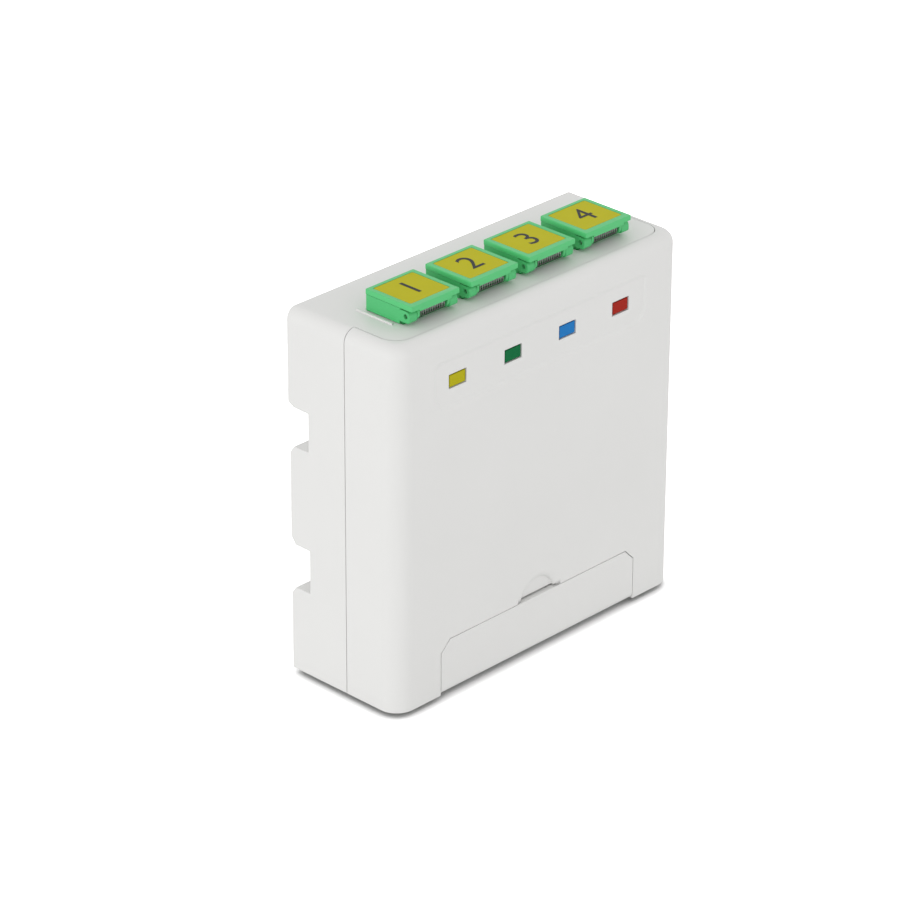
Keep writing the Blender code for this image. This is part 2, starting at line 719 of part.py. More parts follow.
def windows():
    half_x, half_z = WINDOW_WIDTH / 2, WINDOW_HEIGHT / 2
    return [box((x - half_x, FRONT - PAST, WINDOW_CENTRE_Z - half_z),
                (x + half_x, FRONT + WALL + PAST, WINDOW_CENTRE_Z + half_z)) for x in window_places()]


def scoop():
    """Finger dish over the flap with a rounded-over rim, as a cutter."""
    sides, steps = 32, 4
    rings = [(FRONT - PAST, circle(0, SCOOP_CENTRE_Z, SCOOP_RADIUS, sides))]
    for i in range(steps + 1):
        angle = math.pi / 2 * i / steps
        radius = SCOOP_RADIUS - (SCOOP_RADIUS - SCOOP_FLOOR_RADIUS) * math.sin(angle)
        depth = SCOOP_DEPTH * (1 - math.cos(angle))
        rings.append((FRONT + depth, circle(0, SCOOP_CENTRE_Z, radius, sides)))
    return stack("Y", rings)


def flap_outline(grow):
    """Front view of the flap, grown by a clearance on its sides and top."""
    half, top = FLAP_WIDTH / 2 + grow, FLAP_HEIGHT + grow
    corner = FLAP_CORNER_CUT + grow * (2 - math.sqrt(2))
    return [(-half, -PAST), (half, -PAST), (half, top - corner), (half - corner, top),
            (-half + corner, top), (-half, top - corner)]


def flap_room():
    """Opening for the flap: its seat, the way behind it, the thumb gap over it and its bead's room."""
    seat = FRONT + FLAP_THICKNESS + FLAP_GAP
    half = FLAP_WIDTH / 2 + FLAP_GAP
    bead = 2 * FLAP_AXIS + FLAP_GAP
    return [prism(flap_outline(FLAP_GAP), "Y", FRONT - PAST, seat),
            prism(flap_outline(-FLAP_LEDGE), "Y", seat - PAST / 2, FRONT + WALL + PAST),
            box((-SCOOP_FLOOR_RADIUS, FRONT - PAST, FLAP_HEIGHT),
                (SCOOP_FLOOR_RADIUS, FRONT + WALL + PAST, FLAP_HEIGHT + THUMB_GAP)),
            box((-half, FRONT - PAST, -PAST), (half, FRONT + bead, bead))]


def flap_pin_holes():
    """Blind holes for the flap's pins."""
    start = FLAP_WIDTH / 2
    hole = circle(FRONT + FLAP_AXIS, FLAP_AXIS, FLAP_PIN_RADIUS + FLAP_PIN_GAP, 16)
    reach = start + FLAP_PIN_LENGTH + FLAP_GAP
    return [prism(hole, "X", start - PAST, reach), prism(hole, "X", -reach, -start + PAST)]


def tag_rails():
    """Two rails inside the cover that the colour tags slide between."""
    half_x = window_places()[-1] - window_places()[0] + WINDOW_WIDTH
    reach = FRONT + WALL + TAG_GAP + TAG_THICKNESS
    rails = []
    for sign in (-1, 1):
        near = WINDOW_CENTRE_Z + sign * (WINDOW_HEIGHT / 2 + TAG_BORDER + TAG_GAP)
        far = near + sign * TAG_RAIL
        rails.append(box((WINDOW_ROW_SHIFT - half_x / 2 - TAG_BORDER, FRONT + WALL / 2, min(near, far)),
                         (WINDOW_ROW_SHIFT + half_x / 2 + TAG_BORDER, reach, max(near, far))))
    return rails


def front_cover(look):
    shell = join(cover_shell(), *tag_rails())
    shell = cut(shell, label_panel(), *windows(), scoop(), *flap_room(), *flap_pin_holes())
    place("front_cover", shell, look, (0, 0, 0))


def colour_tags(looks):
    """Coloured insert behind each window: a plate with a raised face that fills the window."""
    half_x, half_z = WINDOW_WIDTH / 2 - TAG_WINDOW_GAP, WINDOW_HEIGHT / 2 - TAG_WINDOW_GAP
    plate_x, plate_z = WINDOW_WIDTH / 2 + TAG_BORDER, WINDOW_HEIGHT / 2 + TAG_BORDER
    plate_front = FRONT + WALL + TAG_GAP
    face = FRONT + PANEL_DEPTH + TAG_SINK
    for number, (x, look) in enumerate(zip(window_places(), looks), 1):
        plate = box((-plate_x, plate_front, -plate_z), (plate_x, plate_front + TAG_THICKNESS, plate_z))
        raised = box((-half_x, face, -half_z), (half_x, plate_front + TAG_THICKNESS / 2, half_z))
        place(f"colour_tag_{number}", join(plate, raised), look, (x, 0, WINDOW_CENTRE_Z))


def cable_flap(look):
    """Flap with a round bead and end pins along its foot, modelled about its hinge axis."""
    bead = arc(0, 0, FLAP_AXIS, 180, 450, 18)
    outline = [(-FLAP_AXIS, FLAP_HEIGHT - FLAP_AXIS)] + bead + [(0, FLAP_HEIGHT - FLAP_AXIS)]
    half = FLAP_WIDTH / 2
    front = [(x, z - FLAP_AXIS) for x, z in flap_outline(0)]
    body = common(prism(outline, "X", -half - PAST, half + PAST),
                  prism([(x, z - PAST if z < -FLAP_AXIS else z) for x, z in front], "Y",
                        -FLAP_AXIS - PAST, FLAP_AXIS + PAST))
    pin = circle(0, 0, FLAP_PIN_RADIUS, 16)
    pins = [prism(pin, "X", half - PAST, half + FLAP_PIN_LENGTH),
            prism(pin, "X", -half - FLAP_PIN_LENGTH, -half + PAST)]
    place("cable_flap", join(body, *pins), look, (0, FRONT + FLAP_AXIS, FLAP_AXIS))


# Adapters, in a frame at the middle of each opening on the plate's upper face

def adapter_body():
    """Square tube with shoulders on the plate, a keyed mouth at each end and two hinge ears."""
    head, shank = PORT_WIDTH / 2, SHANK_WIDTH / 2
    half_y = PORT_DEPTH / 2
    outline = [(-shank, -BODY_DROP), (shank, -BODY_DROP), (shank, SEAM), (head, SEAM),
               (head, BODY_RISE), (-head, BODY_RISE), (-head, SEAM), (-shank, SEAM)]
    plan = rounded(-head, -half_y, head, half_y, PORT_CORNER)
    body = common(prism(outline, "Y", -half_y - PAST, half_y + PAST),
                  prism(plan, "Z", -BODY_DROP - PAST, BODY_RISE + PAST))
    hinge_y = -half_y - HINGE_FORWARD
    foot_radius = EAR_FOOT_DROP / 2
    ear = ([(-half_y + PORT_CORNER, HINGE_RISE + EAR_RADIUS)]
           + arc(hinge_y, HINGE_RISE, EAR_RADIUS, 90, 180, 6)
           + arc(hinge_y - EAR_RADIUS + foot_radius, HINGE_RISE - EAR_FOOT_DROP + foot_radius,
                 foot_radius, 180, 270, 4)
           + [(-half_y + PORT_CORNER, HINGE_RISE - EAR_FOOT_DROP)])
    body = join(body, prism(ear, "X", EAR_INNER, EAR_OUTER), prism(ear, "X", -EAR_OUTER, -EAR_INNER))
    return cut(body, *mouth_cutters(), pin_bore(hinge_y))


def mouth_cutters():
    """The two mouths with their lead-in and keyway, and the narrower way through the middle."""
    half_x, half_y = MOUTH_WIDTH / 2, MOUTH_DEPTH / 2
    wall_end = PORT_DEPTH / 2 + PAST
    cutters = []
    for sign, end in ((1, BODY_RISE), (-1, -BODY_DROP)):
        floor = BODY_MIDDLE + sign * LEDGE_THICKNESS / 2
        grow = MOUTH_CHAMFER
        plain = rectangle(-half_x, -half_y, half_x, half_y)
        wide = rectangle(-half_x - grow, -half_y - grow, half_x + grow, half_y + grow)
        cutters.append(stack("Z", [(floor, plain), (end - sign * grow, plain), (end, wide),
                                   (end + sign * PAST, wide)]))
        near, far = sorted((end - sign * KEYWAY_LENGTH, end + sign * PAST))
        cutters.append(box((-KEYWAY_WIDTH / 2, half_y - PAST, near), (KEYWAY_WIDTH / 2, wall_end, far)))
    reach = LEDGE_REACH
    cutters.append(box((-half_x + reach, -half_y + reach, BODY_MIDDLE - LEDGE_THICKNESS),
                       (half_x - reach, half_y - reach, BODY_MIDDLE + LEDGE_THICKNESS)))
    return cutters


def pin_bore(hinge_y):
    return prism(circle(hinge_y, HINGE_RISE, PIN_RADIUS + PIN_GAP, 16), "X",
                 -EAR_OUTER - PAST, EAR_OUTER + PAST)


def sleeve_holder():
    """Flanged tube for the split sleeve, with two latch arms towards each mouth."""
    seat = BODY_MIDDLE + LEDGE_THICKNESS / 2 + HOLDER_SEAT_GAP
    inner_half = SLEEVE_LENGTH / 2 + HOLDER_GAP
    outer_half = inner_half + HOLDER_END_WALL
    tube_radius, bore, mouth = HOLDER_TUBE_DIAMETER / 2, HOLDER_BORE / 2, HOLDER_MOUTH / 2
    middle = BODY_MIDDLE
    profile = [(mouth, middle - outer_half), (tube_radius, middle - outer_half),
               (tube_radius, middle + outer_half), (mouth, middle + outer_half),
               (mouth, middle + inner_half), (bore, middle + inner_half),
               (bore, middle - inner_half), (mouth, middle - inner_half)]
    half_x, half_y = MOUTH_WIDTH / 2 - HOLDER_GAP, MOUTH_DEPTH / 2 - HOLDER_GAP
    flange = cut(box((-half_x, -half_y, seat), (half_x, half_y, seat + HOLDER_FLANGE)),
                 prism(circle(0, 0, (tube_radius + bore) / 2, 16), "Z", seat - PAST,
                       seat + HOLDER_FLANGE + PAST))
    arms = []
    root = seat + HOLDER_FLANGE / 2
    for sign in (1, -1):
        end = root + sign * ARM_LENGTH
        step = sign * ARM_HOOK_HEIGHT
        outline = [(ARM_INNER, root), (ARM_INNER + ARM_THICKNESS, root),
                   (ARM_INNER + ARM_THICKNESS, end), (ARM_INNER + ARM_THICKNESS / 3, end),
                   (ARM_INNER - ARM_HOOK, end - step), (ARM_INNER, end - 2 * step)]
        arms.append(prism(outline, "Y", -ARM_WIDTH / 2, ARM_WIDTH / 2))
        arms.append(prism(mirrored(outline), "Y", -ARM_WIDTH / 2, ARM_WIDTH / 2))
    return join(turned(profile, 16), flange, *arms)


def split_sleeve():
    """Slit ceramic tube in the holder."""
    slit = math.degrees(math.asin(SLEEVE_SLIT / SLEEVE_DIAMETER))
    outline = (arc(0, 0, SLEEVE_DIAMETER / 2, slit, 360 - slit, 16)
               + arc(0, 0, SLEEVE_BORE / 2, 360 - slit, slit, 16))
    return prism(outline, "Z", BODY_MIDDLE - SLEEVE_LENGTH / 2, BODY_MIDDLE + SLEEVE_LENGTH / 2)


def adapter_clip():
    """Sheet clip round three sides of the shank, with a flared tab under the plate on two."""
    inner_x = SHANK_WIDTH / 2 + CLIP_GAP
    outer_x = inner_x + CLIP_SHEET
    inner_y = -PORT_DEPTH / 2 - CLIP_GAP
    outer_y = inner_y - CLIP_SHEET
    back = PORT_DEPTH / 2
    top = -CLIP_TOP_DROP
    foot = top - CLIP_HEIGHT
    band = prism([(-outer_x, back), (-outer_x, outer_y), (outer_x, outer_y), (outer_x, back),
                  (inner_x, back), (inner_x, inner_y), (-inner_x, inner_y), (-inner_x, back)],
                 "Z", foot, top)
    gap = CLIP_TAB_WIDTH / 2 + 2 * CLIP_SHEET
    tab_root = foot + CLIP_HEIGHT / 4
    window = box((-outer_x - PAST, -gap, tab_root), (outer_x + PAST, gap, top - CLIP_HEIGHT / 6))
    tip = -PLATE - CLIP_PLATE_GAP
    lean = outer_x + CLIP_TAB_FLARE
    outline = [(inner_x, tab_root - CLIP_SHEET), (outer_x, tab_root - CLIP_SHEET),
               (outer_x, tab_root), (lean, tip), (lean - CLIP_SHEET, tip), (inner_x, tab_root)]
    half_tab = CLIP_TAB_WIDTH / 2
    tabs = [prism(outline, "Y", -half_tab, half_tab), prism(mirrored(outline), "Y", -half_tab, half_tab)]
    return join(cut(band, window), *tabs)


# Flip caps, in a frame on the hinge axis

def shutter_cap():
    """Plate with a lip over the spring, a label recess, two hinge lugs and a boss for the mouth."""
    half_x = PORT_WIDTH / 2
    layers = [(CAP_UNDER, rounded(-half_x, CAP_NOSE, half_x, CAP_BACK, CAP_CORNER))]
    steps = 3
    for i in range(steps + 1):
        angle = math.pi / 2 * i / steps
        inset = CAP_BEVEL * (1 - math.cos(angle))
        z = CAP_TOP - CAP_BEVEL * (1 - math.sin(angle))
        layers.append((z, rounded(-half_x + inset, CAP_NOSE + inset, half_x - inset,
                                  CAP_BACK - inset, CAP_CORNER - inset)))
    root = CAP_UNDER + CAP_THICKNESS / 4
    lug = ([(-LUG_RADIUS, root)] + arc(0, 0, LUG_RADIUS, 180, 360, 12) + [(LUG_RADIUS, root)])
    lugs = [prism(lug, "X", LUG_INNER, LUG_OUTER), prism(lug, "X", -LUG_OUTER, -LUG_INNER)]
    lip = box((-LUG_OUTER, CAP_NOSE, CAP_UNDER - CAP_LIP_DROP),
              (LUG_OUTER, CAP_NOSE + CAP_LIP_THICKNESS, root))
    middle_y = HINGE_FORWARD + PORT_DEPTH / 2
    boss_x, boss_y = MOUTH_WIDTH / 2 - BOSS_GAP, MOUTH_DEPTH / 2 - BOSS_GAP
    boss = prism(rounded(-boss_x, middle_y - boss_y, boss_x, middle_y + boss_y, CAP_CORNER, steps=1), "Z",
                 CAP_UNDER - BOSS_DEPTH, root)
    bore = prism(circle(0, 0, PIN_RADIUS + PIN_GAP, 16), "X", -LUG_OUTER - PAST, LUG_OUTER + PAST)
    return cut(join(stack("Z", layers), boss, lip, *lugs), label_room(), bore)


def label_outline(grow):
    half = LABEL_WIDTH / 2 + grow
    low = CAP_NOSE + LABEL_FRONT_RIM
    return rounded(-half, low - grow, half, low + LABEL_LENGTH + grow, LABEL_CORNER + grow)


def label_room():
    return prism(label_outline(LABEL_GAP), "Z", CAP_TOP - LABEL_RECESS, CAP_TOP + PAST)


def shutter_label():
    """Flat label plate, a little under flush in the cap's recess."""
    top = CAP_TOP - LABEL_SINK
    return prism(label_outline(0), "Z", top - LABEL_THICKNESS, top)


def hinge_pin():
    half = EAR_OUTER - PIN_END_DEPTH
    return prism(circle(0, 0, PIN_RADIUS, 16), "X", -half, half)


def shutter_spring():
    """Torsion coil round the pin: one leg under the cap's nose, one against the adapter."""
    radius = (COIL_DIAMETER - COIL_WIRE) / 2
    reach = CAP_UNDER - COIL_WIRE / 2 - COIL_LEG_GAP
    half = (COIL_LENGTH - COIL_WIRE) / 2
    coil = helix(Vector((-half, 0, 0)), Vector((1, 0, 0)), Vector((0, 1, 0)), Vector((0, 0, 1)),
                 radius, 2 * half, 180, COIL_TURNS, COIL_STEPS)
    points = [Vector((-half, -radius, reach))] + coil + [Vector((half, radius, reach))]
    return wire(points, COIL_WIRE / 2, WIRE_SIDES)


def ports(looks):
    """The four adapters with all that they carry."""
    port_meshes = {"adapter_body": (adapter_body(), looks["adapter"]),
                   "sleeve_holder": (sleeve_holder(), looks["holder"]),
                   "split_sleeve": (split_sleeve(), looks["ceramic"]),
                   "adapter_clip": (adapter_clip(), looks["clip"])}
    hinge_meshes = {"shutter_cap": (shutter_cap(), looks["cap"]),
                    "shutter_label": (shutter_label(), looks["label"]),
                    "hinge_pin": (hinge_pin(), looks["pin"]),
                    "shutter_spring": (shutter_spring(), looks["spring"])}
    for number, x in enumerate(port_places(), 1):
        port = axis_empty(f"port_{number}", (x, PORT_Y, HEIGHT))
        hinge = axis_empty(f"hinge_{number}", (x, HINGE_Y, HINGE_Z))
        for name, (mesh, look) in port_meshes.items():
            place(f"{name}_{number}", mesh, look, parent=port)
        for name, (mesh, look) in hinge_meshes.items():
            place(f"{name}_{number}", mesh, look, parent=hinge)


# Fittings inside the housing

def splice_comb(look):
    """Comb for splice sleeves, on two pegs in the hollow behind the rail tongue."""
    low = TONGUE_FOOT + WALL + COMB_MARGIN
    high = TONGUE_TOP - WALL - COMB_MARGIN
    middle = (low + high) / 2
    back = LOWER_BACK - WALL - SEAT_GAP
    front = back - COMB_BASE
    half = COMB_WIDTH / 2
    base = prism(rounded(-half, low, half, high, COMB_MARGIN), "Y", front, back)
    pitch = (high - low - COMB_RIB) / COMB_SLOTS
    ribs = []
    for i in range(COMB_SLOTS + 1):
        foot = low + i * pitch
        inset = COMB_RIB / 4
        tip = front - COMB_RIB_HEIGHT
        outline = [(front + COMB_BASE / 2, foot), (front + COMB_BASE / 2, foot + COMB_RIB),
                   (front, foot + COMB_RIB), (tip, foot + COMB_RIB - inset),
                   (tip, foot + inset), (front, foot)]
        ribs.append(prism(outline, "X", -COMB_RIB_WIDTH / 2, COMB_RIB_WIDTH / 2))
    holes = [prism(circle(x, middle, COMB_PEG_RADIUS + SEAM, 16), "Y", front - PAST, back + PAST)
             for x in (-COMB_PEG_PLACE, COMB_PEG_PLACE)]
    place("splice_comb", cut(join(base, *ribs), *holes), look)


def cable_clamp(look):
    """Saddle bar with an arch over the cable and a hole at each end."""
    half_x, half_z = CLAMP_WIDTH / 2, CLAMP_HEIGHT / 2
    front, back = CLAMP_FRONT_Y, CLAMP_FRONT_Y + CLAMP_THICKNESS
    outer = CLAMP_ARCH + CLAMP_ARCH_WALL
    lean = math.degrees(math.asin(CLAMP_THICKNESS / outer))
    outline = ([(-half_x, back), (-half_x, front)]
               + arc(0, back, outer, 180 + lean, 360 - lean, 10)
               + [(half_x, front), (half_x, back)]
               + arc(0, back, CLAMP_ARCH, 360, 180, 10))
    bar = prism(outline, "Z", CLAMP_CENTRE_Z - half_z, CLAMP_CENTRE_Z + half_z)
    holes = [prism(circle(x, CLAMP_CENTRE_Z, SCREW_RADIUS + SCREW_GAP, 16), "Y", front - PAST,
                   back + PAST) for x in (-CLAMP_PLACE, CLAMP_PLACE)]
    place("cable_clamp", cut(bar, *holes), look)


def clamp_screws(look):
    """Pan-head screws with a slot, each modelled from its seat under the head."""
    head = stack("Y", [(-SCREW_HEAD_HEIGHT, circle(0, 0, SCREW_HEAD_TOP_RADIUS, 20)),
                       (-SCREW_HEAD_EDGE, circle(0, 0, SCREW_HEAD_RADIUS, 20)),
                       (0, circle(0, 0, SCREW_HEAD_RADIUS, 20))])
    shaft = prism(circle(0, 0, SCREW_RADIUS, 16), "Y", -SCREW_HEAD_HEIGHT / 2, SCREW_LENGTH)
    slot = box((-SCREW_HEAD_RADIUS, -SCREW_HEAD_HEIGHT - PAST, -SCREW_SLOT / 2),
               (SCREW_HEAD_RADIUS, SCREW_SLOT_DEPTH - SCREW_HEAD_HEIGHT, SCREW_SLOT / 2))
    mesh = cut(join(head, shaft), slot)
    for number, x in enumerate((-CLAMP_PLACE, CLAMP_PLACE), 1):
        place(f"clamp_screw_{number}", mesh, look, (x, CLAMP_FRONT_Y - SEAT_GAP, CLAMP_CENTRE_Z))


def main():
    for old in list(bpy.data.objects):
        bpy.data.objects.remove(old)
    grey = material("housing_grey", (0.76, 0.77, 0.78), 0.5)
    latch_grey = material("latch_grey", (0.55, 0.56, 0.58), 0.5)
    steel = material("spring_steel", (0.32, 0.33, 0.34), 0.35, 1.0)
    bright_steel = material("bright_steel", (0.7, 0.7, 0.7), 0.3, 1.0)
    port_looks = {"adapter": material("adapter_green", (0.03, 0.42, 0.16), 0.4),
                  "cap": material("cap_green", (0.05, 0.5, 0.2), 0.38),
                  "label": material("label_yellow", (0.55, 0.48, 0.06), 0.55),
                  "holder": material("holder_white", (0.75, 0.75, 0.72), 0.45),
                  "ceramic": material("sleeve_ceramic", (0.85, 0.85, 0.82), 0.25),
                  "clip": bright_steel, "pin": bright_steel, "spring": steel}
    tag_looks = [material("tag_yellow", (0.45, 0.42, 0.03), 0.5),
                 material("tag_green", (0.01, 0.17, 0.08), 0.5),
                 material("tag_blue", (0.03, 0.2, 0.55), 0.5),
                 material("tag_red", (0.45, 0.02, 0.02), 0.5)]
    rear_housing(grey)
    rail_latch(latch_grey)
    latch_spring(steel)
    front_cover(grey)
    colour_tags(tag_looks)
    cable_flap(grey)
    ports(port_looks)
    splice_comb(material("comb_white", (0.8, 0.8, 0.78), 0.5))
    cable_clamp(latch_grey)
    clamp_screws(bright_steel)


main()
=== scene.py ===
"""Looks of the rail-mounted fibre box: moulded plastics, printed plates, wire springs, camera and light."""

import json
import math

import bmesh
import bpy
from mathutils import Matrix, Vector


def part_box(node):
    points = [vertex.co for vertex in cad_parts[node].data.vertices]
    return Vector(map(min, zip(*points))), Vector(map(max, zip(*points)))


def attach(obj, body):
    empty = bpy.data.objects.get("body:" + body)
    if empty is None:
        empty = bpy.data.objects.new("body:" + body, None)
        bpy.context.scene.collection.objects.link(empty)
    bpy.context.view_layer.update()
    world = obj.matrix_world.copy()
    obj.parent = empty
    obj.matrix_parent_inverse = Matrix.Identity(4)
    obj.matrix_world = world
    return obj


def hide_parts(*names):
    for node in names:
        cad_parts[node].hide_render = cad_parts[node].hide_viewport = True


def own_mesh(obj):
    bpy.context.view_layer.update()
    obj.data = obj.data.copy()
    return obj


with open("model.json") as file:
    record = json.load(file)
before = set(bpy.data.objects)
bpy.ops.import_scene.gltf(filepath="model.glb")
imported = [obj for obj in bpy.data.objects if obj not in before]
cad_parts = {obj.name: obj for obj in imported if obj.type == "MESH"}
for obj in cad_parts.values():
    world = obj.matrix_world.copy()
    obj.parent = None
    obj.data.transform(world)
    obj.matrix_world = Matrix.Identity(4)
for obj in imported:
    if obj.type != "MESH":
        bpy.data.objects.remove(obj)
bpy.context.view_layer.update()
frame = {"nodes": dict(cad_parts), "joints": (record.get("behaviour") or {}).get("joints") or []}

MM = 0.001
RIGHT = Vector((1, 0, 0))
FRONT = Vector((0, -1, 0))
UP = Vector((0, 0, 1))
PORTS = (1, 2, 3, 4)

# Photograph's camera, from a fit to the box's edges
PHOTO_WIDTH = 915
FOCAL_PIXELS = 4302.4
CAMERA_PLACE = Vector((-543.5, -516.4, 413.8)) * MM
CAMERA_YAW = math.radians(-46.025)
CAMERA_PITCH = math.radians(26.622)
CAMERA_ROLL = math.radians(0.263)

# Light and floor
SKY = 1.31
ZENITH_LOSS = 0.70
LAMP = 0.60
LAMP_SPREAD = math.radians(35)
LAMP_SIDE = (-1.0, -0.05, 0.12)
FLOOR_SIZE = 6.0
FLOOR_DROP = 1.2 * MM
FLOOR_WHITE = 0.90
FLOOR_SEEN = 2.0
FLOOR_MIRRORED = 1.1
# Reach and samples of the painted contact shade in the floor's colour
CONTACT_REACH = 3.0 * MM
CONTACT_SAMPLES = 8

# Colour sockets of a Mix node, whose names aren't unique
MIX_FIRST = 6
MIX_SECOND = 7
MIX_RESULT = 2

# Edges and meshes
EDGE_SAMPLES = 6
EDGE_ANGLE = math.radians(32)
ROUND_EDGE_ANGLE = math.radians(50)
WELD = 0.0005 * MM
FLAT_ANGLE = math.radians(0.5)
LEVEL_TOLERANCE = 0.001 * MM
PANEL_LOW = (-35.5 * MM, -14.6 * MM, 55.0 * MM)
PANEL_HIGH = (35.5 * MM, -14.0 * MM, 74.0 * MM)

# Springs
WIRE_SIDES = 10
STEPS_A_TURN = 28
HINGE_COIL_RADIUS = 1.05 * MM
HINGE_WIRE = 0.28 * MM
HINGE_TURNS = 10.5
LATCH_COIL_RADIUS = 1.2 * MM
LATCH_WIRE = 0.3 * MM
LATCH_TURNS = 6

# Printed numbers
NUMBER_SIZE = 7.8 * MM
NUMBER_THICKNESS = 0.01 * MM
NUMBER_LIFT = 0.012 * MM


class Value:
    """One output of a shader node. Arithmetic on it adds Math nodes."""

    def __init__(self, nodes, socket):
        self.nodes = nodes
        self.socket = socket

    def _math(self, operation, first, second):
        return self.nodes.add("ShaderNodeMath", {"operation": operation}, {0: first, 1: second})

    def __add__(self, other):
        return self._math("ADD", self, other)

    def __sub__(self, other):
        return self._math("SUBTRACT", self, other)

    def __rsub__(self, other):
        return self._math("SUBTRACT", other, self)

    def __mul__(self, other):
        return self._math("MULTIPLY", self, other)

    __radd__ = __add__
    __rmul__ = __mul__


class Nodes:
    """A node tree that is being built."""

    def __init__(self, tree):
        self.tree = tree

    def add(self, kind, settings=None, sockets=None, output=0):
        """A node of this kind, set up, fed and given back as its output."""
        node = self.tree.nodes.new(kind)
        for key, value in (settings or {}).items():
            setattr(node, key, value)
        for key, value in (sockets or {}).items():
            self.feed(node.inputs[key], value)
        return Value(self, node.outputs[output])

    def feed(self, socket, value):
        if isinstance(value, Value):
            self.tree.links.new(value.socket, socket)
        else:
            socket.default_value = value

    def rays(self, *kinds):
        """1 for a ray of one of these kinds, 0 for another."""
        total = self.add("ShaderNodeLightPath", output=kinds[0])
        for kind in kinds[1:]:
            total = total + self.add("ShaderNodeLightPath", output=kind)
        return self.add("ShaderNodeClamp", None, {"Value": total})


class Finish(Nodes):
    """A material that is being made, with its Principled shader."""

    def __init__(self, name):
        self.material = bpy.data.materials.new(name)
        self.material.use_nodes = True
        super().__init__(self.material.node_tree)
        self.shader = self.tree.nodes["Principled BSDF"]
        self.place = self.add("ShaderNodeTexCoord", output="Object")

    def set(self, **sockets):
        """Shader inputs by name, with underscores for spaces."""
        for name, value in sockets.items():
            self.feed(self.shader.inputs[name.replace("_", " ")], value)

    def noise(self, scale, detail=3.0, roughness=0.5, vector=None):
        return self.add("ShaderNodeTexNoise", None, {"Vector": vector or self.place, "Scale": scale,
                                                     "Detail": detail, "Roughness": roughness})

    def tint(self, noise, first, second):
        """Base colour that wanders between two others."""
        self.set(Base_Color=self.add("ShaderNodeMix", {"data_type": "RGBA"},
                                     {"Factor": noise, MIX_FIRST: (*first, 1.0), MIX_SECOND: (*second, 1.0)},
                                     MIX_RESULT))

    def relief(self, height, strength, depth, edge=None):
        """Fine relief in the surface, over edges that are softened by this radius if one is given."""
        sockets = {"Strength": strength, "Distance": depth, "Height": height}
        if edge:
            sockets["Normal"] = self.add("ShaderNodeBevel", {"samples": EDGE_SAMPLES}, {"Radius": edge})
        self.set(Normal=self.add("ShaderNodeBump", None, sockets))


def scaled(colour, factor):
    return tuple(min(1.0, channel * factor) for channel in colour)


def swing(noise, width):
    """A noise moved to lie about zero, this wide."""
    return (noise - 0.5) * width


# Finishes

def moulded(name, colour, roughness, grain=0.25, edge=0.18 * MM, unevenness=0.02, gloss=0.5):
    """Injection-moulded plastic: a faint cloudiness, a fine spark-eroded grain and soft edges."""
    finish = Finish(name)
    clouds = finish.noise(scale=45.0, detail=2.0)
    skin = finish.noise(scale=5200.0, detail=2.0, roughness=0.6)
    flow = finish.noise(scale=240.0)
    finish.tint(clouds, scaled(colour, 1 - unevenness), scaled(colour, 1 + unevenness))
    finish.set(Roughness=swing(flow, 0.10) + swing(skin, 0.05) + roughness, Specular_IOR_Level=gloss)
    finish.relief(skin, strength=grain, depth=0.006 * MM, edge=edge)
    return finish.material


def drawn_wire(name, colour, roughness):
    """Drawn steel wire, darkened and a little streaky."""
    finish = Finish(name)
    streak = finish.noise(scale=2600.0, detail=2.0)
    tone = finish.noise(scale=700.0, detail=2.0)
    finish.tint(tone, scaled(colour, 0.8), scaled(colour, 1.25))
    finish.set(Roughness=swing(streak, 0.2) + roughness, Metallic=1.0)
    finish.relief(streak, strength=0.2, depth=0.004 * MM)
    return finish.material


def rolled_sheet(name, colour, roughness):
    """Rolled or turned steel with fine parallel lines."""
    finish = Finish(name)
    stretched = finish.add("ShaderNodeMapping", None,
                           {"Vector": finish.place, "Scale": (9000.0, 9000.0, 500.0)})
    lines = finish.noise(scale=1.0, detail=2.0, vector=stretched)
    finish.tint(finish.noise(scale=300.0), scaled(colour, 0.97), scaled(colour, 1.03))
    finish.set(Roughness=swing(lines, 0.08) + roughness, Metallic=1.0)
    finish.relief(lines, strength=0.15, depth=0.003 * MM, edge=0.06 * MM)
    return finish.material


def zirconia():
    """Ground ceramic, with a slight gloss."""
    finish = Finish("zirconia")
    finish.tint(finish.noise(scale=400.0), (0.80, 0.79, 0.74), (0.86, 0.85, 0.80))
    finish.set(Roughness=swing(finish.noise(scale=4000.0), 0.1) + 0.22, Coat_Weight=0.3)
    return finish.material


def printed_plate():
    """Yellow label plate, with a satin print that is a little uneven."""
    finish = Finish("label_yellow")
    clouds = finish.noise(scale=220.0)
    dots = finish.noise(scale=7000.0, detail=1.0)
    finish.tint(clouds, (0.50, 0.47, 0.004), (0.55, 0.51, 0.008))
    finish.set(Roughness=swing(dots, 0.08) + 0.42, Specular_IOR_Level=0.06)
    finish.relief(dots, strength=0.15, depth=0.004 * MM, edge=0.08 * MM)
    return finish.material


SHELL_GREY = moulded("shell_grey", (0.778, 0.776, 0.762), 0.46)
CAP_GREEN = moulded("cap_green", (0.098, 0.575, 0.200), 0.34, grain=0.15, edge=0.12 * MM,
                    unevenness=0.04, gloss=0.35)
ADAPTER_GREEN = moulded("adapter_green", (0.085, 0.530, 0.185), 0.36, grain=0.15, edge=0.12 * MM,
                        unevenness=0.04, gloss=0.35)
LATCH_GREY = moulded("latch_grey", (0.55, 0.56, 0.57), 0.45)
COMB_WHITE = moulded("comb_white", (0.80, 0.80, 0.78), 0.45)
HOLDER_WHITE = moulded("holder_white", (0.76, 0.76, 0.73), 0.40, grain=0.15, edge=0.08 * MM)
TAG_COLOURS = tuple(moulded(name, colour, 0.42, grain=0.1, edge=0.1 * MM, gloss=0.05) for name, colour in (
    ("tag_yellow", (0.475, 0.430, 0.012)), ("tag_green", (0.005, 0.150, 0.048)),
    ("tag_blue", (0.020, 0.195, 0.530)), ("tag_red", (0.365, 0.022, 0.013))))
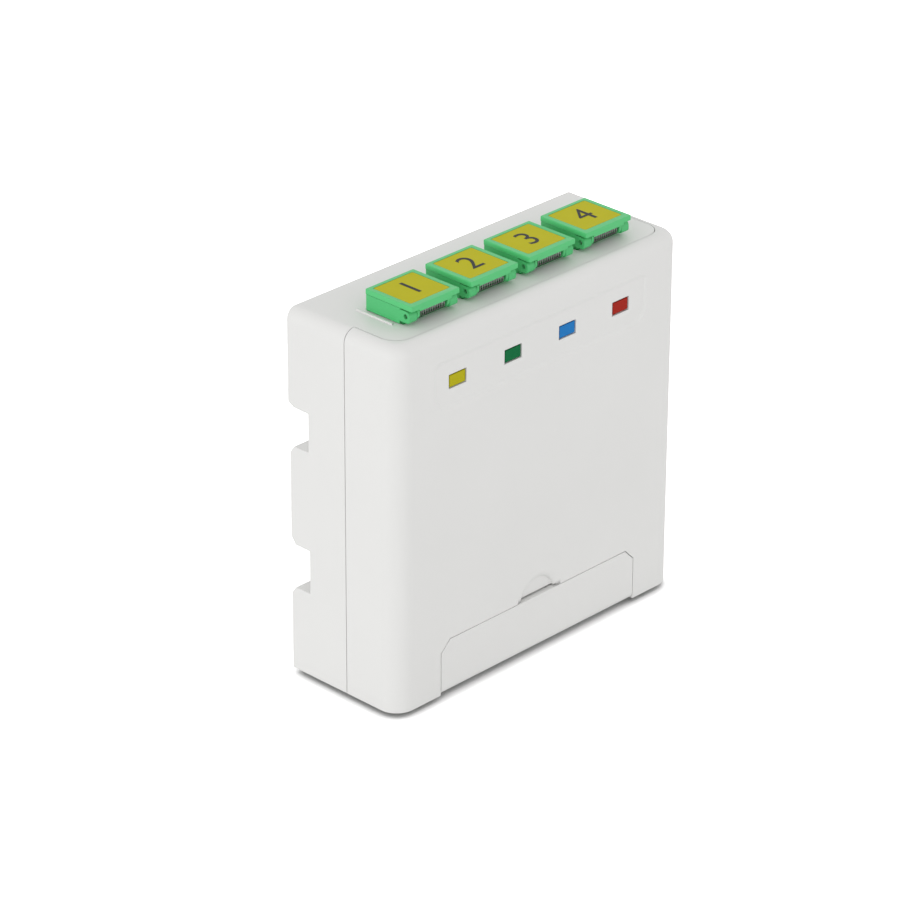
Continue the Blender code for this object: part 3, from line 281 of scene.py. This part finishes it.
LABEL_YELLOW = printed_plate()
NUMBER_INK = moulded("number_ink", (0.012, 0.012, 0.010), 0.40, grain=0.1, edge=0.02 * MM, gloss=0.2)
SPRING_WIRE = drawn_wire("spring_wire", (0.26, 0.26, 0.25), 0.22)
BRIGHT_STEEL = rolled_sheet("bright_steel", (0.62, 0.62, 0.61), 0.28)
ZIRCONIA = zirconia()


# Mesh tools


def piece(name, shape, look, body, node=None, angle=EDGE_ANGLE):
    """Object from a bmesh, smooth but for its sharp edges, riding on a body, for a node if one is named."""
    mesh = bpy.data.meshes.new(name)
    shape.to_mesh(mesh)
    shape.free()
    mesh.materials.append(look)
    mesh.shade_smooth()
    mesh.set_sharp_from_angle(angle=angle)
    made = bpy.data.objects.new(name, mesh)
    bpy.context.scene.collection.objects.link(made)
    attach(made, body)
    if node:
        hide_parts(node)
    return made


def even_shading(made):
    """Flat faces shade flat beside a fillet."""
    weights = made.modifiers.new("even_shading", "WEIGHTED_NORMAL")
    weights.keep_sharp = True
    return made


def smoothed(node, name, look, body, angle=EDGE_ANGLE):
    """Stand-in for a CAD node: its mesh merged, its flats cleaned and its round faces smooth."""
    shape = bmesh.new()
    shape.from_mesh(frame["nodes"][node].data)
    bmesh.ops.remove_doubles(shape, verts=shape.verts, dist=WELD)
    bmesh.ops.dissolve_limit(shape, angle_limit=FLAT_ANGLE, verts=shape.verts, edges=shape.edges)
    return even_shading(piece(name, shape, look, body, node, angle))


def crisp(made, low, high):
    """Level edges on the front, between these corners, are sharp, however slight the slope they bound."""
    points = made.data.vertices
    for edge in made.data.edges:
        first, second = (points[index].co for index in edge.vertices)
        level = abs(first.y - second.y) < LEVEL_TOLERANCE
        within = all(low[axis] < point[axis] < high[axis] for axis in range(3) for point in (first, second))
        edge.use_edge_sharp = edge.use_edge_sharp or (level and within)


def dress(node, look):
    """CAD node that keeps its shape and takes a finish."""
    data = frame["nodes"][node].data
    data.materials.clear()
    data.materials.append(look)


# The box

def box_shells():
    """Housing, cover and flap."""
    smoothed("rear_housing", "housing_moulding", SHELL_GREY, "housing")
    cover = smoothed("front_cover", "cover_moulding", SHELL_GREY, "cover")
    crisp(cover, PANEL_LOW, PANEL_HIGH)
    smoothed("cable_flap", "flap_moulding", SHELL_GREY, "flap")
    for number, look in zip(PORTS, TAG_COLOURS):
        dress(f"colour_tag_{number}", look)


def box_fittings():
    """What sits in and behind the housing."""
    dress("rail_latch", LATCH_GREY)
    smoothed("splice_comb", "comb_moulding", COMB_WHITE, "housing")
    smoothed("cable_clamp", "clamp_moulding", LATCH_GREY, "housing")
    for number in (1, 2):
        smoothed(f"clamp_screw_{number}", f"clamp_screw_{number}_turned", BRIGHT_STEEL, "housing")


# Adapters

def coil(name, node, along, spoke, centre, outer, wire, turns, leg=0.0):
    """Wound wire as long as a CAD spring, from a spoke round its axis, with legs that rise if asked."""
    low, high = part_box(node)
    radius = outer - wire / 2
    length = (high - low).dot(along) - wire
    first = centre - along * length / 2 + spoke * radius
    shape = bmesh.new()
    ring = bmesh.ops.create_circle(shape, segments=WIRE_SIDES, radius=wire / 2)["verts"]
    forward = along.cross(spoke)
    turn = Matrix((spoke, along, forward)).transposed().to_4x4()
    bmesh.ops.transform(shape, matrix=Matrix.Translation(first) @ turn, verts=ring)
    steps = round(turns * STEPS_A_TURN)
    spun = bmesh.ops.spin(shape, geom=list(shape.edges), cent=centre, axis=along,
                          dvec=along * length / steps, angle=2 * math.pi * turns, steps=steps)
    ends = [[edge for edge in shape.edges if edge.is_boundary and edge.verts[0] in ring],
            [item for item in spun["geom_last"] if isinstance(item, bmesh.types.BMEdge)]]
    if leg:
        for end in ends:
            grown = bmesh.ops.extrude_edge_only(shape, edges=end)["geom"]
            tip = [item for item in grown if isinstance(item, bmesh.types.BMVert)]
            bmesh.ops.translate(shape, vec=(0, 0, leg), verts=tip)
    bmesh.ops.holes_fill(shape, edges=[edge for edge in shape.edges if edge.is_boundary], sides=0)
    bmesh.ops.recalc_face_normals(shape, faces=shape.faces)
    return piece(name, shape, SPRING_WIRE, "housing", node, ROUND_EDGE_ANGLE)


def latch_coil():
    """Coil under the rail latch, at its rest length, with a mesh of its own; the latch's travel is read but
    does not press it together.
    """
    low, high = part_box("latch_spring")
    made = coil("latch_coil", "latch_spring", UP, RIGHT, (low + high) / 2,
                LATCH_COIL_RADIUS, LATCH_WIRE, LATCH_TURNS)
    travel = next(joint["range_m"][1] for joint in frame["joints"] if joint["name"] == "latch_slide")
    1 - travel / (high[2] - low[2])
    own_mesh(made)


def hinge_coil(number, hinge):
    """Torsion spring between an adapter's ears, round the hinge's axis, its legs up to the cap."""
    low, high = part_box(f"shutter_spring_{number}")
    centre = Vector(((low.x + high.x) / 2, hinge.y, hinge.z))
    coil(f"hinge_coil_{number}", f"shutter_spring_{number}", RIGHT, FRONT, centre,
         HINGE_COIL_RADIUS, HINGE_WIRE, HINGE_TURNS, leg=high.z - hinge.z)


def port_number(number):
    """Plain printed number on a label plate."""
    low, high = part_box(f"shutter_label_{number}")
    text = bpy.data.curves.new(f"number_{number}_text", "FONT")
    text.body = str(number)
    text.align_x = "CENTER"
    text.align_y = "CENTER"
    text.size = NUMBER_SIZE
    text.extrude = NUMBER_THICKNESS
    holder = bpy.data.objects.new("number_holder", text)
    bpy.context.scene.collection.objects.link(holder)
    bpy.context.view_layer.update()
    mesh = bpy.data.meshes.new_from_object(holder)
    bpy.data.objects.remove(holder)
    shape = bmesh.new()
    shape.from_mesh(mesh)
    bpy.data.meshes.remove(mesh)
    bmesh.ops.remove_doubles(shape, verts=shape.verts, dist=WELD)
    bmesh.ops.dissolve_degenerate(shape, edges=shape.edges, dist=WELD)
    centre = (low + high) / 2
    bmesh.ops.translate(shape, vec=(centre.x, centre.y, high.z + NUMBER_LIFT), verts=shape.verts)
    piece(f"port_number_{number}", shape, NUMBER_INK, f"cap_{number}")


def adapters():
    """Adapter bodies, caps, labels, springs, pins and inner pieces."""
    hinges = {joint["child"]: Vector(joint["pos_m"]) for joint in frame["joints"] if "pos_m" in joint}
    for number in PORTS:
        cap = f"cap_{number}"
        smoothed(f"adapter_body_{number}", f"adapter_moulding_{number}", ADAPTER_GREEN, "housing")
        smoothed(f"shutter_cap_{number}", f"cap_moulding_{number}", CAP_GREEN, cap)
        smoothed(f"shutter_label_{number}", f"label_plate_{number}", LABEL_YELLOW, cap)
        smoothed(f"hinge_pin_{number}", f"hinge_pin_{number}_ground", BRIGHT_STEEL, "housing")
        smoothed(f"sleeve_holder_{number}", f"sleeve_holder_{number}_moulding", HOLDER_WHITE, "housing")
        smoothed(f"split_sleeve_{number}", f"split_sleeve_{number}_ground", ZIRCONIA, "housing",
                 ROUND_EDGE_ANGLE)
        dress(f"adapter_clip_{number}", BRIGHT_STEEL)
        hinge_coil(number, hinges[cap])
        port_number(number)
    latch_coil()


# Camera, light and floor

def photo_camera():
    """Camera at the photograph's place, with its focal length."""
    lens = bpy.data.cameras.new("photo_camera")
    lens.sensor_fit = "HORIZONTAL"
    lens.sensor_width = 36.0
    lens.lens = FOCAL_PIXELS / PHOTO_WIDTH * lens.sensor_width
    lens.clip_start = 0.01
    lens.clip_end = 50.0
    camera = bpy.data.objects.new("photo_camera", lens)
    upright = Matrix.Rotation(math.pi / 2, 4, "X")
    turn = (Matrix.Rotation(CAMERA_YAW, 4, "Z") @ Matrix.Rotation(-CAMERA_PITCH, 4, "X") @ upright
            @ Matrix.Rotation(CAMERA_ROLL, 4, "Z"))
    camera.matrix_world = Matrix.Translation(CAMERA_PLACE) @ turn
    bpy.context.scene.collection.objects.link(camera)
    bpy.context.scene.camera = camera


def studio_light():
    """White surroundings, dimmer overhead, and one broad soft lamp at the left."""
    world = bpy.data.worlds.new("studio")
    bpy.context.scene.world = world
    world.use_nodes = True
    surroundings = Nodes(world.node_tree)
    background = world.node_tree.nodes["Background"]
    seen = surroundings.rays("Is Camera Ray", "Is Glossy Ray", "Is Transmission Ray")
    surroundings.feed(background.inputs["Color"], (1.0, 1.0, 1.0, 1.0))
    heading = surroundings.add("ShaderNodeTexCoord", output="Object")
    height = surroundings.add("ShaderNodeSeparateXYZ", None, {"Vector": heading}, "Z")
    above = surroundings.add("ShaderNodeClamp", None, {"Value": height})
    sky = SKY - above * ZENITH_LOSS
    surroundings.feed(background.inputs["Strength"], seen * (1.0 - sky) + sky)
    lamp = bpy.data.lights.new("soft_lamp", "SUN")
    lamp.energy = LAMP
    lamp.angle = LAMP_SPREAD
    holder = bpy.data.objects.new("soft_lamp", lamp)
    holder.rotation_euler = Vector(LAMP_SIDE).to_track_quat("Z", "Y").to_euler()
    bpy.context.scene.collection.objects.link(holder)


def white_floor():
    """Floor just under the box: white to the camera, but for the dark line along the box, partly its real
    shade and partly painted shade from an occlusion factor in the floor's colour.
    """
    shape = bmesh.new()
    bmesh.ops.create_grid(shape, x_segments=1, y_segments=1, size=FLOOR_SIZE)
    bmesh.ops.translate(shape, vec=(0, 0, -FLOOR_DROP), verts=shape.verts)
    mesh = bpy.data.meshes.new("floor")
    shape.to_mesh(mesh)
    shape.free()
    floor = bpy.data.objects.new("floor", mesh)
    bpy.context.scene.collection.objects.link(floor)
    material = bpy.data.materials.new("white_floor")
    material.use_nodes = True
    tree = material.node_tree
    tree.nodes.remove(tree.nodes["Principled BSDF"])
    nodes = Nodes(tree)
    # painted shade: an occlusion factor darkens the floor's colour to the camera where the box is close
    # above it
    unshaded = nodes.add("ShaderNodeAmbientOcclusion", {"samples": CONTACT_SAMPLES},
                         {"Distance": CONTACT_REACH}, "AO")
    direct = nodes.rays("Is Camera Ray") * (unshaded * FLOOR_SEEN - FLOOR_WHITE)
    mirrored = nodes.rays("Is Glossy Ray", "Is Transmission Ray") * (FLOOR_MIRRORED - FLOOR_WHITE)
    white = direct + mirrored + FLOOR_WHITE
    matt = nodes.add("ShaderNodeBsdfDiffuse", None, {"Color": white})
    nodes.feed(tree.nodes["Material Output"].inputs["Surface"], matt)
    mesh.materials.append(material)


photo_camera()
studio_light()
white_floor()
box_shells()
box_fittings()
adapters()

bpy.context.scene.view_settings.view_transform = "Standard"
